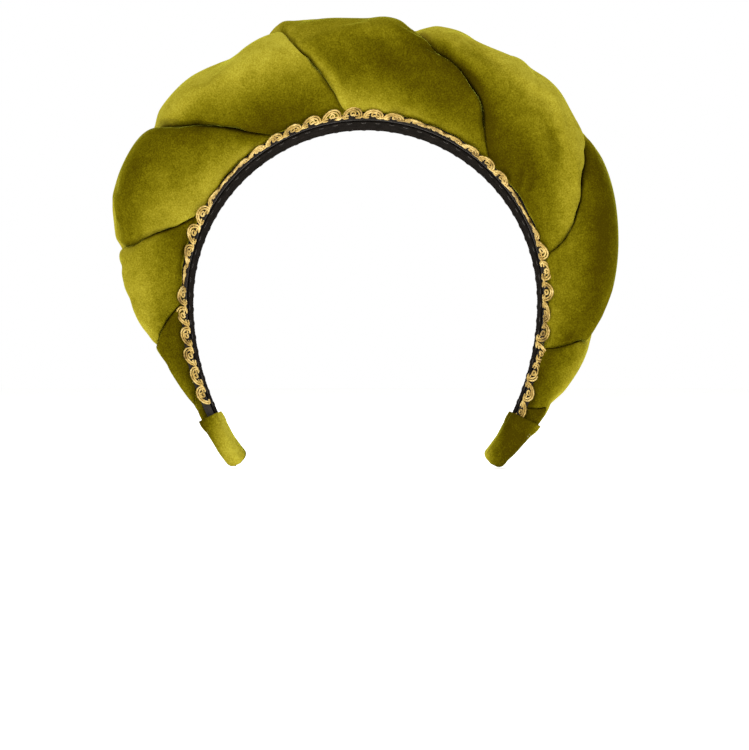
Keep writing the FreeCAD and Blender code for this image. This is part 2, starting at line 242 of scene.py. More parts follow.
# ------------------------------------------------------------------ the head line
def head_line(s):
    """Points (x, z) of the head line at s and the outward directions there."""
    s = np.asarray(s, float)
    past_left = (ARM_LENGTH - s) / ARM_RADIUS
    past_right = (s - ARM_LENGTH - CROWN_LENGTH) / ARM_RADIUS
    turn = np.pi - (s - ARM_LENGTH) / CROWN_RADIUS
    turn = np.where(past_left > 0, np.pi + past_left, np.where(past_right > 0, -past_right, turn))
    outward = np.stack([np.cos(turn), np.sin(turn)], -1)
    on_arm = (past_left > 0) | (past_right > 0)
    radius = np.where(on_arm, ARM_RADIUS, CROWN_RADIUS)
    shift = np.where(on_arm, (ARM_RADIUS - CROWN_RADIUS) * np.sign(past_left), 0)
    point = outward * radius[..., None]
    point[..., 0] += shift
    return point, outward


def place(s, y, out):
    """Points at s along the head line, y across the band and out from the head, in metres."""
    s, y, out = np.broadcast_arrays(s, y, out)
    point, outward = head_line(s)
    flat = point + outward * out[..., None]
    return np.stack([flat[..., 0], y, flat[..., 1]], -1) * MM


def eased(knots, s):
    """Values at s on the smooth curve through (s, value) knots."""
    knots = np.array(knots, float)
    at, value = knots[:, 0], knots[:, 1]
    slope = np.empty(len(at))
    slope[1:-1] = (value[2:] - value[:-2]) / (at[2:] - at[:-2])
    slope[0] = (value[1] - value[0]) / (at[1] - at[0])
    slope[-1] = (value[-1] - value[-2]) / (at[-1] - at[-2])
    s = np.clip(s, at[0], at[-1])
    i = np.clip(np.searchsorted(at, s, side="right") - 1, 0, len(at) - 2)
    span = at[i + 1] - at[i]
    t = (s - at[i]) / span
    rise = value[i + 1] - value[i]
    leave, arrive = slope[i] * span, slope[i + 1] * span
    return value[i] + leave * t + (3 * rise - 2 * leave - arrive) * t**2 + (
        leave + arrive - 2 * rise
    ) * t**3


def smoothstep(low, high, x):
    """0 up to low, 1 from high on, and a smooth rise between."""
    t = np.clip((x - low) / (high - low), 0, 1)
    return t * t * (3 - 2 * t)


def band_half_width(s):
    from_crown = np.minimum(np.abs(2 * np.asarray(s) / HEAD_LINE - 1), 1)
    lost = (BAND_WIDTH_CROWN - BAND_WIDTH_TIP) * from_crown**WIDTH_TAPER_POWER
    return (BAND_WIDTH_CROWN - lost) / 2


def tube_faces(rows, around, flipped=False):
    """Faces of a closed tube of rows of points, each row going once round, with flat ends."""
    faces = []
    for start in range(0, (rows - 1) * around, around):
        for j in range(around):
            here, beside = start + j, start + (j + 1) % around
            face = (here, beside, beside + around, here + around)
            faces.append((face[0], *face[:0:-1]) if flipped else face)
    first, last = tuple(range(around)), tuple(range((rows - 1) * around, rows * around))
    faces += [first, last[::-1]] if flipped else [first[::-1], last]
    return faces


def spots_at(spots, share, angle):
    """Sum of soft spots at shares across a lobe and section angles."""
    total = np.zeros(np.broadcast(share, angle).shape)
    for at_share, at_angle, reach, turn, amount in spots:
        away = ((share - at_share) / reach) ** 2 + ((angle - at_angle) / turn) ** 2
        total = total + amount * np.exp(-away)
    return total


# ------------------------------------------------------------------ the twist's surface
def crease_at(number, angle):
    """Place s where a crease crosses the section's angle, from -60 to 300 degrees."""
    crease = CREASES[number]
    behind = CREASES.get(number - 2, tuple(v - CREASE_STEP for v in crease))
    ahead = CREASES.get(number + 2, tuple(v + CREASE_STEP for v in crease))
    own = list(zip(ANGLES, crease))
    back = [(at, crease[-1] + share * (behind[0] - crease[-1])) for at, share in BACK_ANGLES]
    # One knot past each end of the range gives the curve its slope there.
    under_angle, under_share = BACK_ANGLES[-2]
    before = (under_angle - FULL_TURN, crease[0] + (1 - under_share) * (ahead[-1] - crease[0]))
    after = (FULL_TURN + ANGLES[1], behind[1])
    return eased([before] + own + back + [after], angle)


def near_band_edge(angle, reach, reach_under):
    """1 where the twist rolls over an edge of the band, falling to 0 round the section."""
    from_underside = np.abs((angle - UNDERSIDE + FULL_TURN / 2) % FULL_TURN - FULL_TURN / 2)
    past = from_underside - BAND_EDGE_TURN
    return np.exp(-((past / np.where(past > 0, reach, reach_under)) ** 2))


def twist_surface(s, angle, lift):
    """Points on the twist's envelope at s and angle (degrees), raised by lift millimetres."""
    half_height = (eased(TWIST_HEIGHT, s) - TWIST_BASE) / 2
    half_depth = eased(TWIST_HALF_DEPTH, s)
    turn = np.radians(angle)
    fuller = near_band_edge(angle, EDGE_FULL_TURN, EDGE_FULL_TURN)
    power = 2 / (SECTION_POWER + EDGE_FULLNESS * fuller)
    y = -half_depth * np.sign(np.cos(turn)) * np.abs(np.cos(turn)) ** power
    out = half_height * np.sign(np.sin(turn)) * np.abs(np.sin(turn)) ** power
    kept = 1 + lift / np.hypot(y, out)
    over_edge = near_band_edge(angle, EDGE_DROP_TURN, EDGE_DROP_TURN_UNDER)
    drop = EDGE_DROP * np.sqrt(size_factor(s)) * over_edge
    return place(s, y * kept, TWIST_BASE + half_height + out * kept - drop)


def size_factor(s):
    """How large the twist is at s, as a share of its size at the crown."""
    return np.clip(eased(TWIST_HEIGHT, s) / FULL_HEIGHT, SMALLEST_SIZE, 1) ** SIZE_POWER


def lobe_rows(lobe, angle):
    """Rows across one lobe, at each angle: places s, lifts, how free each point is, and shares.

    The lobe lies between crease number lobe - 1 and crease number lobe."""
    start, end = crease_at(lobe - 1, angle), crease_at(lobe, angle)
    middle = (start + end) / 2
    size = size_factor(middle)
    height = eased(TWIST_HEIGHT, middle)
    width = (end - start) * (1 + WIDTH_AT_HEIGHT * height / CROWN_RADIUS) * WIDTH_ACROSS_SLANT
    over_start = (lobe - 1) in UPPER_IS_NEXT
    over_end = lobe not in UPPER_IS_NEXT
    seen = smoothstep(*UNDER_SINES, np.sin(np.radians(angle)))
    depth_share = UNDER_DEPTH + (1 - UNDER_DEPTH) * seen
    depth = CREASE_DEPTH * size * depth_share
    lower_corner = SHARP_CORNER if lobe in CRISP_LOBES else SOFT_CORNER
    left, right = (
        np.minimum((SHARP_CORNER if over else lower_corner) * size, width / CORNERS_PER_WIDTH)
        for over in (over_start, over_end)
    )
    left_edge = -OVERLAP * size * over_start
    right_edge = width + OVERLAP * size * over_end
    across, lift, free = [], [], []
    corner_steps = np.linspace(0, 1, CORNER_COLUMNS, endpoint=False)
    for t in corner_steps:
        across.append(left_edge + left * (1 - math.cos(math.pi / 2 * t)))
        lift.append(-depth * (1 - math.sin(math.pi / 2 * t)))
        free.append(np.full_like(width, smoothstep(*FREE_CORNER, t)))
    for t in np.linspace(0, 1, MIDDLE_COLUMNS):
        across.append(left_edge + left + t * (right_edge - right - left_edge - left))
        lift.append(np.zeros_like(width))
        free.append(np.ones_like(width))
    for t in corner_steps[::-1]:
        across.append(right_edge - right * (1 - math.cos(math.pi / 2 * t)))
        lift.append(-depth * (1 - math.sin(math.pi / 2 * t)))
        free.append(np.full_like(width, smoothstep(*FREE_CORNER, t)))
    across, lift, free = np.array(across), np.array(lift), np.array(free)
    share = across / width
    from_middle = np.abs(np.clip(2 * share - 1, -1, 1)) ** PLUMP_POWER
    lift = lift - PLUMPNESS * size * depth_share * from_middle
    lift = lift + size * spots_at(SWELLS.get(lobe, ()), share, angle)
    s = start + share * (end - start)
    return s.T, lift.T, free.T, share.T


def strand_grid(lobes):
    """Rows of a whole strand, lobe after lobe: angles, s, lift, freedom, share, lobe number."""
    rows = []
    for lobe in lobes:
        angle = np.arange(FULL_TURN + ANGLES[0], ANGLES[0], -ROW_STEP, dtype=float)
        s, lift, free, share = lobe_rows(lobe, angle)
        rows.append((angle, s, lift, free, share, np.full(len(angle), lobe)))
    return [np.concatenate(part) for part in zip(*rows)]


def gathers(lobe, angle):
    """How much spare cloth each row of a strand has, most where it is gathered."""
    slack = np.zeros(len(lobe))
    for at_lobe, at_angle, turn, amount in GATHERS:
        slack += np.where(lobe == at_lobe, amount * np.exp(-(((angle - at_angle) / turn) ** 2)), 0)
    return np.clip(slack, 0, 1)


def strand_mesh(name, lobes):
    """Closed mesh of one stuffed strand, with what each point needs to know about itself."""
    angle, s, lift, free, share, lobe = strand_grid(lobes)
    keep = (s.mean(1) > STRAND_START) & (s.mean(1) < STRAND_END)
    angle, s, lift, free, share, lobe = (v[keep] for v in (angle, s, lift, free, share, lobe))
    outer = twist_surface(s, angle[:, None], lift)
    columns = np.linspace(1, 0, CORE_COLUMNS + 2)[1:-1]
    inner_s = s[:, :1] + columns * (s[:, -1:] - s[:, :1])
    centre = place(
        inner_s, 0.0, TWIST_BASE + (eased(TWIST_HEIGHT, inner_s) - TWIST_BASE) / 2
    )
    skin = twist_surface(inner_s, angle[:, None], np.zeros_like(inner_s))
    inner = centre + (skin - centre) * CORE_SHARE
    points = np.concatenate([outer, inner], 1)
    rows, around = points.shape[:2]
    pad = np.zeros((rows, CORE_COLUMNS))
    data = {
        "free": np.concatenate([free, pad], 1).ravel(),
        "angle": np.repeat(angle, around),
        "share": np.concatenate([share, pad + 0.5], 1).ravel(),
        "lobe": np.repeat(lobe, around),
        "s": np.concatenate([s, inner_s], 1).ravel(),
        "slack": np.repeat(gathers(lobe, angle), around),
    }
    return new_object(name, points.reshape(-1, 3), tube_faces(rows, around)), data


def new_object(name, points, faces, smooth=True):
    mesh = bpy.data.meshes.new(name)
    mesh.from_pydata([tuple(map(float, p)) for p in points], [], faces)
    mesh.validate()
    if smooth:
        mesh.polygons.foreach_set("use_smooth", [True] * len(mesh.polygons))
    made = bpy.data.objects.new(name, mesh)
    bpy.context.scene.collection.objects.link(made)
    return made


# ------------------------------------------------------------------ stuffing the strands
# Section angles between which a strand is held to the band, and how soon the hold fades.
HELD_UNDER = (254, 286)
HELD_FADE = 12
LEAST_WEIGHT = 0.001
SIM_FRAMES = 20
PRESSURE = 4.0
BENDING = 2.0
# Shrinking of the cloth, where negative values make it larger.
SHRINK = -0.03
GATHERED_SHRINK = -0.14
# No point moves further than this, in millimetres at the crown, or further inward than this.
MAX_SWELL = 3.5
MAX_DENT = 0.9
TINY = 1e-9


def set_group(piece, name, weights):
    """A vertex group with a weight for each point, known by the name returned."""
    group = piece.vertex_groups.new(name=name)
    for i, weight in enumerate(weights):
        if weight > LEAST_WEIGHT:
            group.add([i], float(weight), "REPLACE")
    return group.name


def points_of(mesh):
    flat = np.empty(len(mesh.vertices) * 3)
    mesh.vertices.foreach_get("co", flat)
    return flat.reshape(-1, 3)


def stuff(piece, data):
    """Blow the strand up as stuffed cloth, held in its creases and where it meets the band."""
    scene = bpy.context.scene
    angle = data["angle"] % FULL_TURN
    first, last = HELD_UNDER
    on_band = smoothstep(first - HELD_FADE, first, angle)
    on_band *= 1 - smoothstep(last, last + HELD_FADE, angle)
    held = np.maximum(1 - data["free"], on_band)
    cloth = piece.modifiers.new("cloth", "CLOTH")
    settings = cloth.settings
    settings.quality = 6
    settings.mass = 0.1
    settings.air_damping = 1.0
    settings.tension_stiffness = 20
    settings.compression_stiffness = 20
    settings.shear_stiffness = 8
    settings.bending_stiffness = BENDING
    settings.use_pressure = True
    settings.uniform_pressure_force = PRESSURE
    settings.vertex_group_mass = set_group(piece, "held", held)
    settings.vertex_group_shrink = set_group(piece, "slack", data["slack"])
    settings.shrink_min = SHRINK
    settings.shrink_max = GATHERED_SHRINK
    settings.effector_weights.gravity = 0
    cloth.collision_settings.use_collision = False
    before = points_of(piece.data)
    for step in range(1, SIM_FRAMES + 1):
        scene.frame_set(step)
    graph = bpy.context.evaluated_depsgraph_get()
    after = points_of(piece.evaluated_get(graph).data)
    piece.modifiers.remove(cloth)
    move = after - before
    s = data["s"]
    heart = place(s, 0.0, (eased(TWIST_HEIGHT, s) + TWIST_BASE) / 2)
    outward = before - heart
    outward /= np.linalg.norm(outward, axis=1)[:, None]
    rise = (move * outward).sum(1)
    dent = MAX_DENT * MM
    move += outward * np.where(rise < 0, dent * np.tanh(rise / dent) - rise, 0)[:, None]
    length = np.linalg.norm(move, axis=1)
    limit = MAX_SWELL * MM * size_factor(s)
    moved = before + move * (limit * np.tanh(length / limit) / np.maximum(length, TINY))[:, None]
    piece.data.vertices.foreach_set("co", moved.ravel())
    piece.data.update()
    scene.frame_set(1)


# ------------------------------------------------------------------ cords and threads
# How far each ply stands out, and how blunt a cord's ends are, as shares of its radius.
PLY_RELIEF = 0.16
BLUNT_END = 0.15


def frames_along(path):
    """Sides and normals along an open path of points, without twisting."""
    path = np.asarray(path, float)
    ahead = np.gradient(path, axis=0)
    ahead /= np.linalg.norm(ahead, axis=1)[:, None]
    side = np.cross(ahead[0], (0.0, 1.0, 0.0))
    if np.linalg.norm(side) < 0.1:
        side = np.cross(ahead[0], (1.0, 0.0, 0.0))
    sides = []
    for direction in ahead:
        side = side - direction * side.dot(direction)
        side /= np.linalg.norm(side)
        sides.append(side)
    sides = np.array(sides)
    return sides, np.cross(ahead, sides)


def even_steps(path, step):
    """The path's points again, step apart."""
    path = np.asarray(path, float)
    gaps = np.linalg.norm(np.diff(path, axis=0), axis=1)
    at = np.concatenate([[0], np.cumsum(gaps)])
    count = max(int(round(at[-1] / step)), 4) + 1
    return np.stack([np.interp(np.linspace(0, at[-1], count), at, path[:, k]) for k in range(3)], 1)


def twisted_cord(path, radius, plies=2, ply_length=1.6, step=0.26, around=8, phase=0.0):
    """Points and faces of a closed cord of a few plies along a path, all in millimetres."""
    path = even_steps(path, step)
    sides, normals = frames_along(path)
    run = np.arange(len(path)) * step
    turn = np.linspace(0, 2 * np.pi, around, endpoint=False)
    twist = 2 * np.pi * run / (ply_length * plies) + phase
    relief = 1 + PLY_RELIEF * np.cos(plies * (turn[None] - twist[:, None]))
    ends = np.minimum(run, run[::-1])
    taper = np.sqrt(np.clip(ends / radius, BLUNT_END, 1))
    spread = radius * relief * taper[:, None]
    ring = (
        np.cos(turn)[None, :, None] * sides[:, None] + np.sin(turn)[None, :, None] * normals[:, None]
    )
    points = path[:, None] + ring * spread[..., None]
    return points.reshape(-1, 3), tube_faces(len(path), around)


def joined(name, parts):
    """One object from several (points, faces) in millimetres."""
    points, faces, offset = [], [], 0
    for part_points, part_faces in parts:
        points.append(part_points)
        faces += [tuple(v + offset for v in face) for face in part_faces]
        offset += len(part_points)
    return new_object(name, np.concatenate(points) * MM, faces)


# ------------------------------------------------------------------ the gold braid
# The braid's line: how far out from the head, and in front of the strands' rolled edge.
GIMP_PITCH = 8.5
GIMP_START = 30.0
GIMP_END = HEAD_LINE - 18.0
GIMP_CENTRE = 2.0
GIMP_SETBACK = 1.0
BAND_CLEARANCE = 0.6
EDGE_SWELL = 0.9
# Where the braid lies flat on the head it is tucked in under the strands' edge.
LYING_TURNS = (58, 92)
FLAT_LIFT = 0.6
FLAT_TUCK = 2.2
FLAT_REACH = 0.9
GIMP_CORD_RADIUS = 0.37
# The scrolls: two arches of cord, one inside the other, with hooked ends.
SCROLL_WIDTH = 7.6
SCROLL_HEIGHT = 3.65
SCROLL_FOOT = -1.5
SCROLL_SLANT = 0.3
CORD_SPACING = 0.86
RING_LIFT = 0.12
ARCH_STEPS = 26
ARCH_OVERRUN = 0.14
ARCH_HOOK = 1.1
HOOK_DROP = 0.55
# The curl inside each scroll: where a spiral of this radius starts, how far it turns, in
# degrees, and the share by which it tightens.
CURL_RADIUS = 1.15
CURL_FOOT = -1.4
CURL_STEPS = 22
CURL_START = -60
CURL_TURN = 430
CURL_TIGHTENING = 0.62
CURL_LIFT = 0.1
CURL_RISE = 0.35
# The ties from scroll to scroll: two cords that cross.
TIE_REACH = 2.9
TIE_FOOT = -1.45
TIE_STEPS = 9
TIE_SPREAD = 0.5
TIE_CROSSING = 0.35
TIE_WAVES = (1.9, 2)
TIE_CORD_RADIUS = GIMP_CORD_RADIUS * 0.92
# How uneven the scrolls' width (a share), height and foot are, and the curls' size (a share).
UNEVEN_WIDTH = 0.1
UNEVEN_HEIGHT = 0.8
UNEVEN_FOOT = 0.25
UNEVEN_CURL = 0.16
# Where the braid turns its face from the front, 0, to the head, 90 degrees, at s.
GIMP_TURN = (
    (0, 20), (45, 35), (58, 30), (67, 8), (78, 90), (88, 65), (100, 8), (108, 35), (115, 84),
    (125, 96), (139, 78), (155, 55), (172, 40), (181, 0), (189, 42), (197, 55), (208, 82),
    (222, 90), (236, 66), (244, 52), (251, 62), (258, 88), (268, 98), (276, 90), (284, 52),
    (290, 6), (298, 10), (306, 52), (314, 60), (322, 12), (330, 0), (340, 25), (350, 45),
    (HEAD_LINE, 45),
)
# How far the braid wanders from its line, outward, at s.
GIMP_WANDER = (
    (0, 0), (60, 0.2), (67, 0.8), (80, -0.2), (101, 0.5), (120, -0.4), (150, 0), (181, 0.9),
    (200, 0.1), (225, -0.5), (243, 0.1), (266, -0.9), (290, 0.7), (308, -0.2), (316, 0.5),
    (322, -1.0), (330, 0.9), (338, -0.8), (346, 0.3), (HEAD_LINE, 0),
)


def edge_depth(s):
    """How far in front of the band's middle the stuffed strands roll over its edge."""
    shallow = math.sin(math.radians(BAND_EDGE_TURN)) ** (2 / (SECTION_POWER + EDGE_FULLNESS))
    return eased(TWIST_HALF_DEPTH, s) * shallow + EDGE_SWELL * size_factor(s)


def braid_points(s, flat):
    """Points of a shape drawn flat (along the braid, across it, towards the viewer) at s."""
    along_braid, height, towards = (np.asarray(v, float) for v in zip(*flat))
    at = s + along_braid + SCROLL_SLANT * height
    turn = np.radians(eased(GIMP_TURN, at))
    lying = smoothstep(*LYING_TURNS, np.degrees(turn))
    edge = np.maximum(band_half_width(at) + BAND_CLEARANCE, edge_depth(at))
    centre = GIMP_CENTRE + eased(GIMP_WANDER, at) + FLAT_LIFT * lying
    out = centre + height * np.cos(turn) - towards * np.sin(turn)
    ahead = towards * np.cos(turn) + height * FLAT_REACH * np.sin(turn) - FLAT_TUCK * lying
    y = -(edge + GIMP_SETBACK + ahead)
    return place(at, y, out) / MM


def arch(width, height, base):
    """A round arch, open at its foot, its ends curling in."""
    flat = []
    for t in np.linspace(-ARCH_OVERRUN, 1 + ARCH_OVERRUN, ARCH_STEPS):
        turn = math.pi * (1 - t)
        x = width / 2 * math.cos(turn)
        z = base + height * math.sin(turn)
        inward = max(-t, t - 1, 0) * width * ARCH_HOOK
        flat.append((x - math.copysign(inward, x), max(z, base - HOOK_DROP), 0.0))
    return flat


def curl(size):
    """A spiral that stands on its foot, size times its usual radius."""
    flat = []
    for t in np.linspace(0, 1, CURL_STEPS):
        turn = math.radians(CURL_START + CURL_TURN * t)
        reach = CURL_RADIUS * (1 - CURL_TIGHTENING * t) * size
        z = CURL_FOOT + CURL_RADIUS + reach * math.sin(turn)
        flat.append((reach * math.cos(turn), z, CURL_RISE * t + CURL_LIFT))
    return flat


def braid_places():
    return np.arange(GIMP_START, GIMP_END, GIMP_PITCH)


def uneven(number, step, row):
    """A value about 0 for one repeat of the braid, step apart along a row of smooth noise."""
    return noise.noise(Vector((number * step, row, 0)))


def gimp_scrolls():
    """The braid's outer cords: two arches in each scroll."""
    parts = []
    for number, s in enumerate(braid_places()):
        jitter = uneven(number, 1.7, 3.1)
        width = SCROLL_WIDTH * (1 - UNEVEN_WIDTH * jitter)
        height = SCROLL_HEIGHT + UNEVEN_HEIGHT * jitter
        base = SCROLL_FOOT + UNEVEN_FOOT * jitter
        for ring in (0, 1):
            shrink = ring * CORD_SPACING
            flat = arch(width - 2 * shrink, height - shrink, base)
            lifted = [(x, z, w + RING_LIFT * ring) for x, z, w in flat]
            points = braid_points(s, lifted)
            parts.append(twisted_cord(points, GIMP_CORD_RADIUS, phase=number + ring))
    return joined("gimp_scrolls", parts)


def gimp_curls():
    """The small spiral inside each scroll."""
    parts = []
    for number, s in enumerate(braid_places()):
        flat = curl(1 + UNEVEN_CURL * uneven(number, 2.3, 7.7))
        parts.append(twisted_cord(braid_points(s, flat), GIMP_CORD_RADIUS, phase=number))
    return joined("gimp_curls", parts)


def gimp_twists():
    """Short crossed cords that tie one scroll of the braid to the next."""
    parts = []
    for number, s in enumerate(braid_places()[:-1]):
        for side in (-1, 1):
            flat = [
                (
                    TIE_REACH * t,
                    TIE_FOOT + side * TIE_SPREAD * math.sin(t * TIE_WAVES[0]),
                    TIE_CROSSING * side * math.cos(t * TIE_WAVES[1]),
                )
                for t in np.linspace(-1, 1, TIE_STEPS)
            ]
            points = braid_points(s + GIMP_PITCH / 2, flat)
            parts.append(twisted_cord(points, TIE_CORD_RADIUS, phase=number))
    return joined("gimp_twists", parts)


# ------------------------------------------------------------------ lining and threads
LINING_START = 18.0
LINING_INSET = 1.5
EDGE_ROUNDING = 0.14
LINING_GAP = 0.05
RIB_PITCH = 1.3
RIB_HEIGHT = 0.11
RIB_STEPS = 5
RIBBON_COLUMNS = 15
# Running stitches along both edges of the ribbon.
STITCH_START = 24.0
STITCH_PITCH = 6.0
STITCH_LENGTH = 2.4
STITCH_INSET = 1.5
STITCH_OUT = 0.22
STITCH_BOW = 0.24
STITCH_RADIUS = 0.17
# Slanting stitches that hold the strands down along both edges of the band.
TACK_START = 26.0
TACK_PITCH = 9.0
TACK_SLANT = 1.6
TACK_OUTS = (1.6, 4.6)
TACK_CLEARANCE = 0.6
TACK_BOW = 0.3
TACK_RADIUS = 0.26


def ribbon_half_width(s):
    return band_half_width(s) - LINING_INSET


def lining():
    """The ribbon that lies against the head: a thin closed slab with raised cross ribs."""
    rows = int((HEAD_LINE - 2 * LINING_START) / RIB_PITCH * RIB_STEPS) + 1
    s = np.linspace(LINING_START, HEAD_LINE - LINING_START, rows)[:, None]
    across = np.linspace(-1, 1, RIBBON_COLUMNS)[None]
    ribs = RIB_HEIGHT * (0.5 + 0.5 * np.cos(2 * np.pi * s / RIB_PITCH)) * (1 - across**8)
    edge = EDGE_ROUNDING * across**12
    y = across * ribbon_half_width(s)
    below = place(s, y, RIB_HEIGHT + edge - ribs)
    above = place(s, y[:, ::-1], LINING_THICKNESS - LINING_GAP - edge)
    grid = np.concatenate([below, above], 1)
    return new_object("lining", grid.reshape(-1, 3), tube_faces(rows, grid.shape[1], flipped=True))


def thread_stitch(start, end, bow, radius, phase):
    """A twisted stitch between two points, bowed by a vector in its middle."""
    start, end, bow = (np.asarray(v, float) for v in (start, end, bow))
    path = [start + (end - start) * t + bow * math.sin(math.pi * t) for t in np.linspace(0, 1, 9)]
    return twisted_cord(path, radius, ply_length=0.6, step=0.2, around=6, phase=phase)


def lining_thread():
    """Running stitches through the ribbon, on the side that touches the head."""
    parts = []
    for side in (-1, 1):
        places = np.arange(STITCH_START, HEAD_LINE - STITCH_START, STITCH_PITCH)
        for number, s in enumerate(places):
            y = side * (ribbon_half_width(s) - STITCH_INSET)
            outward = head_line(s)[1]
            bow = -STITCH_BOW * np.array([outward[0], 0, outward[1]])
            ends = [place(at, y, STITCH_OUT) / MM for at in (s, s + STITCH_LENGTH)]
            parts.append(thread_stitch(*ends, bow, STITCH_RADIUS, number))
    return joined("lining_thread", parts)


def tacking_thread():
    """Slanting stitches from the band's edges up into the strands."""
    parts = []
    for side in (-1, 1):
        places = np.arange(TACK_START, HEAD_LINE - TACK_START, TACK_PITCH)
        for number, s in enumerate(places):
            y = side * (band_half_width(s) + TACK_CLEARANCE)
            start = place(s, y, TACK_OUTS[0]) / MM
            end = place(s + TACK_SLANT, y - side, TACK_OUTS[1]) / MM
            parts.append(thread_stitch(start, end, (0, side * TACK_BOW, 0), TACK_RADIUS, number))
    return joined("tacking_thread", parts)


# ------------------------------------------------------------------ velvet ends
WRAP_LENGTH = 21.0
TIP_OVERRUN = 2.4
TIP_MARGIN = 3
WRAP_ROWS = 44
WRAP_AROUND = 56
WRAP_POWER = 2.9
# Space round what the pocket holds, and where its underside lies.
WRAP_EASE = 1.3
BAND_EASE = 0.5
WRAP_LOW = -1.4
# The first rows turn in at the mouth, then the velvet rolls over its rim.
MOUTH_SHARE = 0.16
MOUTH_TUCK = 2.6
MOUTH_INSET = (0.2, 1.3)
MOUTH_ROLL = 0.35
ROLLS_PER_WRAP = 5
# Rows lie closer together towards the tip.
ROW_POWER = 0.9
# From here to the tip the pocket rounds off, to a small flat end.
ROUND_FROM = 0.8
ROUND_POWER = 2.4
SMALLEST_END = 0.0004
# Folds as number round the pocket, height and reach from the mouth or the tip, and the sag.
MOUTH_FOLDS = (11, 0.38, 5)
TIP_FOLDS = (7, 0.5, 3.5)
SAG = 0.3
# The lay of a pocket's pile, with its sheen and shade painted in: its middle, its swing round the
# pocket, and its turn along it.
WRAP_LAY_SHEEN_SHADE = (0.45, 0.5, 0.09)


def wrap_row(t):
    """Place, inset and closing of a pocket's row: t is 0 inside the mouth and 1 at the tip."""
    if t < MOUTH_SHARE:
        inside = 1 - t / MOUTH_SHARE
        inset = MOUTH_INSET[0] + MOUTH_INSET[1] * math.sin(inside * math.pi / 2)
        return WRAP_LENGTH - MOUTH_TUCK * inside, inset, 1.0
    past = (t - MOUTH_SHARE) / (1 - MOUTH_SHARE)
    at = WRAP_LENGTH - past**ROW_POWER * (WRAP_LENGTH + TIP_OVERRUN)
    rolled = -MOUTH_ROLL * math.sin(min(past * ROLLS_PER_WRAP, 1) * math.pi)
    rounded = max((past - ROUND_FROM) / (1 - ROUND_FROM), 0) ** ROUND_POWER
    return at, rolled, math.sqrt(max(1 - rounded, SMALLEST_END))


def wrap_folds(angles, at):
    """Gathers at a pocket's mouth, pinches at its tip and the sag between, in millimetres."""
    count, height, reach = MOUTH_FOLDS
    waves = np.cos(count * angles + 2.5 * np.sin(angles))
    gather = height * waves * math.exp(-(((at - WRAP_LENGTH) / reach) ** 2))
    count, height, reach = TIP_FOLDS
    pinch = height * np.cos(count * angles + 1) * math.exp(-(((at + TIP_OVERRUN) / reach) ** 2))
    ring = [Vector((at * 0.16, math.cos(a) * 1.3, math.sin(a) * 1.3)) for a in angles]
    return gather + pinch + SAG * np.array([noise.noise(point) for point in ring])


def tip_wrap(name, from_left):
    """Velvet folded over one tip of the band: a soft pocket with a rolled mouth, and its lay, with
    its sheen and shade painted in.
    """
    angles = np.linspace(0, 2 * np.pi, WRAP_AROUND, endpoint=False)
    cos, sin = np.cos(angles), np.sin(angles)
    across = -np.sign(cos) * np.abs(cos) ** (2 / WRAP_POWER)
    upward = np.sign(sin) * np.abs(sin) ** (2 / WRAP_POWER)
    middle_lay_sheen_shade, swing, turn = WRAP_LAY_SHEEN_SHADE
    points, lay_sheen_shade_rows = [], []
    for t in np.linspace(0, 1, WRAP_ROWS):
        at, inset, closing = wrap_row(t)
        s = at if from_left else HEAD_LINE - at
        inner_s = np.clip(s, TIP_MARGIN, HEAD_LINE - TIP_MARGIN)
        band, twist = band_half_width(inner_s) + BAND_EASE, eased(TWIST_HALF_DEPTH, inner_s)
        half = np.maximum(band, twist) + WRAP_EASE
        high = eased(TWIST_HEIGHT, inner_s) + WRAP_EASE
        grown = wrap_folds(angles, at) - inset
        middle = (high + WRAP_LOW) / 2
        out = middle + ((high - WRAP_LOW) / 2 + grown) * upward * closing
        points.append(place(s, (half + grown) * across * closing, out))
        lay_sheen_shade_rows.append(middle_lay_sheen_shade + swing * np.cos(angles + at * turn + (0 if from_left else 2)))
    faces = tube_faces(WRAP_ROWS, WRAP_AROUND, flipped=not from_left)
    return new_object(name, np.concatenate(points), faces), np.clip(np.concatenate(lay_sheen_shade_rows), 0, 1)


# ------------------------------------------------------------------ how the pile lies, with its painted sheen and shade
def lay_sheen_shade_of_strand(data):
    """Lay of the pile at each point of a strand, from 0, dark, to 1, light, with the sheen and shade
    it shows painted in.
    """
    lay = np.zeros(len(data["lobe"]))
    angle, share = data["angle"], data["share"]
    for lobe, (first, second, *spots) in LAY_SHEEN_SHADE.items():
        here = data["lobe"] == lobe
        start, end = (eased(list(zip(LAY_SHEEN_SHADE_ANGLES, side)), angle[here]) for side in (first, second))
        front = start + share[here] * (end - start) + spots_at(spots, share[here], angle[here])
        # The back has the front's spots, mirrored and the other way round in lightness.
        mirrored = [(1 - across, at, reach, turn, -m) for across, at, reach, turn, m in spots]
        rear = spots_at(mirrored, share[here], 180 - angle[here])
        rear = BACK_LAY_SHEEN_SHADE[lobe % 2] + BACK_SPOTS * rear
        to_back = smoothstep(*TO_BACK_ANGLES, angle[here])
        # A painted sheen along the outermost edge.
        rim = smoothstep(*RIM_SHEEN_ANGLES[:2], angle[here]) - smoothstep(*RIM_SHEEN_ANGLES[2:], angle[here])
        lay[here] = front * (1 - to_back) + rear * to_back + RIM_PAINTED_SHEEN * rim
    return np.clip(lay, *LAY_SHEEN_SHADE_LIMITS)


def add_value(piece, name, values):
    """Store a value at each point, for the velvet to read."""
    attribute = piece.data.attributes.new(name, "FLOAT", "POINT")
    attribute.data.foreach_set("value", np.asarray(values, np.float32))


